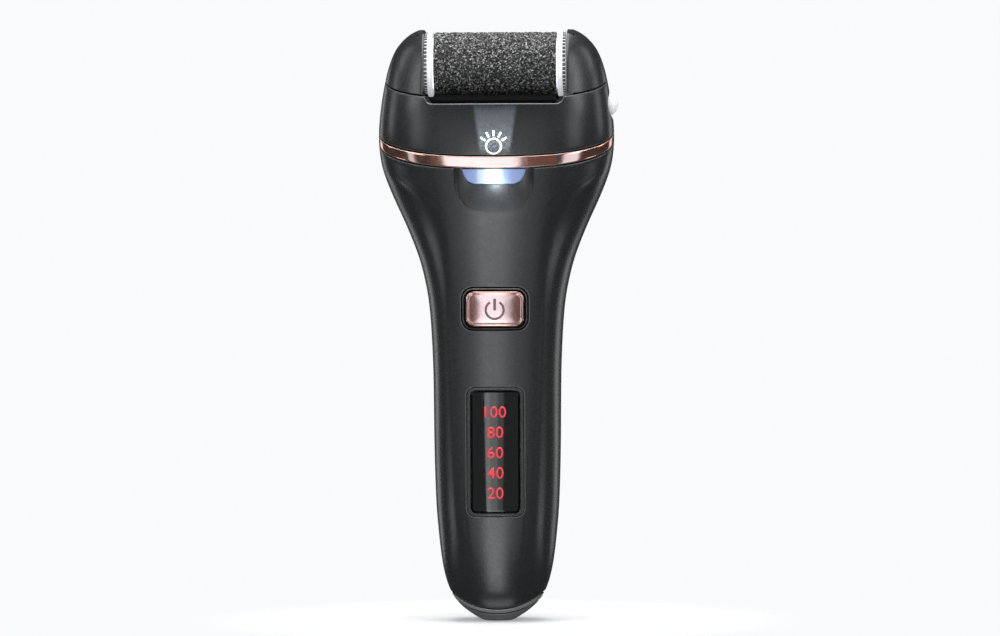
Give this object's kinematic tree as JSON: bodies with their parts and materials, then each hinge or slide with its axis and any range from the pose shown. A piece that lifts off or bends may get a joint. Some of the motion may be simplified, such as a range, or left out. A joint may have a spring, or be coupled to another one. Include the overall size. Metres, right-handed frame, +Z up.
{
  "type": "electric callus remover",
  "caption": "Handheld electric foot file: tapered handle with button and display, wide head with a geared abrasive roller between two arm covers, headlight and release button.",
  "frame": {"origin": "centre of the small flat on the end cap that the handle stands on", "axes": "+Z up the handle towards the roller, -Y the front with the button, display and headlight, +X the right-hand side with the roller release button"},
  "size_m": [0.074, 0.0436, 0.1822],
  "materials": {
    "charcoal_plastic": "soft satin, fine moulded texture",
    "rose_gold_metal": "polished rose-gold plating",
    "rose_gold_button": "satin rose-gold plating with a polished edge",
    "abrasive_grit": "coarse mineral grit, black and grey",
    "white_plastic": "smooth white moulded plastic",
    "natural_nylon": "natural nylon gears",
    "black_gloss": "gloss black",
    "black_plastic": "plain black moulding",
    "seal_rubber": "matt rubber",
    "clear_lens": "clear, slightly blue",
    "release_white": "translucent white",
    "trim_silver": "satin grey trim",
    "steel": "bright steel",
    "brass_pinion": "turned brass",
    "motor_steel": "plated steel can",
    "circuit_board": "green solder mask",
    "led_white": "white LED",
    "led_red": "red LED",
    "cell_wrap": "blue shrink wrap on a steel and lithium cell",
    "lead_red": "red wire insulation",
    "lead_black": "black wire insulation"
  },
  "bodies": {
    "casing": {"front_shell": "charcoal_plastic", "rear_shell": "charcoal_plastic", "head_housing": "charcoal_plastic", "left_arm_cover": "charcoal_plastic", "right_arm_cover": "charcoal_plastic", "bottom_cap": "charcoal_plastic", "bottom_ring": "trim_silver", "accent_band": "rose_gold_metal", "roller_trough": "black_gloss", "head_seal": "seal_rubber", "headlight_lens": "clear_lens", "headlight_board": "circuit_board", "headlight_led": "led_white", "power_button_bezel": "black_gloss", "button_gasket": "seal_rubber", "tact_switch": "black_plastic", "display_frame": "trim_silver", "display_lens": "black_gloss", "light_guide": "white_plastic", "display_led_1": "led_red", "display_led_2": "led_red", "display_led_3": "led_red", "display_led_4": "led_red", "display_led_5": "led_red", "main_board": "circuit_board", "charging_board": "circuit_board", "charging_socket": "steel", "chassis": "black_plastic", "battery_cell": "cell_wrap", "battery_tab_top": "steel", "battery_tab_bottom": "steel", "board_screw_left": "steel", "board_screw_right": "steel", "motor_screw_front": "steel", "motor_screw_rear": "steel", "motor_can": "motor_steel", "motor_end_bell": "black_plastic", "motor_lead_red": "lead_red", "motor_lead_black": "lead_black", "gear_plate": "black_plastic", "gearbox_cover": "black_plastic", "idler_pin": "steel", "compound_pin": "steel", "release_spring": "steel"},
    "roller_axle_body": {"roller_axle": "steel"},
    "roller": {"roller_core": "white_plastic", "abrasive_sleeve": "abrasive_grit", "roller_cap_left": "white_plastic", "roller_gear_cap": "white_plastic"},
    "idler": {"idler_gear": "natural_nylon"},
    "compound": {"compound_gear": "natural_nylon"},
    "rotor": {"motor_shaft": "steel", "motor_pinion": "brass_pinion"},
    "power_button": {"power_button": "rose_gold_button"},
    "switch_plunger": {"switch_plunger": "black_plastic"},
    "release": {"release_button": "release_white", "release_slider": "white_plastic"}
  },
  "joints": [
    {"name": "roller_removal", "type": "slide", "parent": "casing", "child": "roller_axle_body", "axis": [0, 0, 1], "range_m": [0, 0.024]},
    {"name": "roller_spin", "type": "hinge", "parent": "roller_axle_body", "child": "roller", "pos_m": [0, -0.004, 0.1714], "axis": [1, 0, 0], "continuous": true},
    {"name": "idler_spin", "type": "hinge", "parent": "casing", "child": "idler", "pos_m": [0.0222, -0.001, 0.15727], "axis": [1, 0, 0], "continuous": true},
    {"name": "compound_spin", "type": "hinge", "parent": "casing", "child": "compound", "pos_m": [0.024, 0.00274, 0.14924], "axis": [1, 0, 0], "continuous": true},
    {"name": "rotor_spin", "type": "hinge", "parent": "casing", "child": "rotor", "pos_m": [0.02, 0.00045, 0.13844], "axis": [1, 0, 0], "continuous": true},
    {"name": "power_button_press", "type": "slide", "parent": "casing", "child": "power_button", "axis": [0, 1, 0], "range_m": [0, 0.0006], "stiffness_N_per_m": 1200, "springref_m": -0.0004},
    {"name": "switch_plunger_press", "type": "slide", "parent": "casing", "child": "switch_plunger", "axis": [0, 1, 0], "range_m": [0, 0.0006]},
    {"name": "release_press", "type": "slide", "parent": "casing", "child": "release", "axis": [-1, 0, 0], "range_m": [0, 0.0015], "stiffness_N_per_m": 900, "springref_m": -0.001, "deforming": ["release_spring"]}
  ],
  "couplings": [
    {"joint": "idler_spin", "follows": "roller_spin", "ratio": -1.7692},
    {"joint": "compound_spin", "follows": "roller_spin", "ratio": 2.5556},
    {"joint": "rotor_spin", "follows": "roller_spin", "ratio": -6.8148},
    {"joint": "switch_plunger_press", "follows": "power_button_press", "ratio": 1}
  ]
}
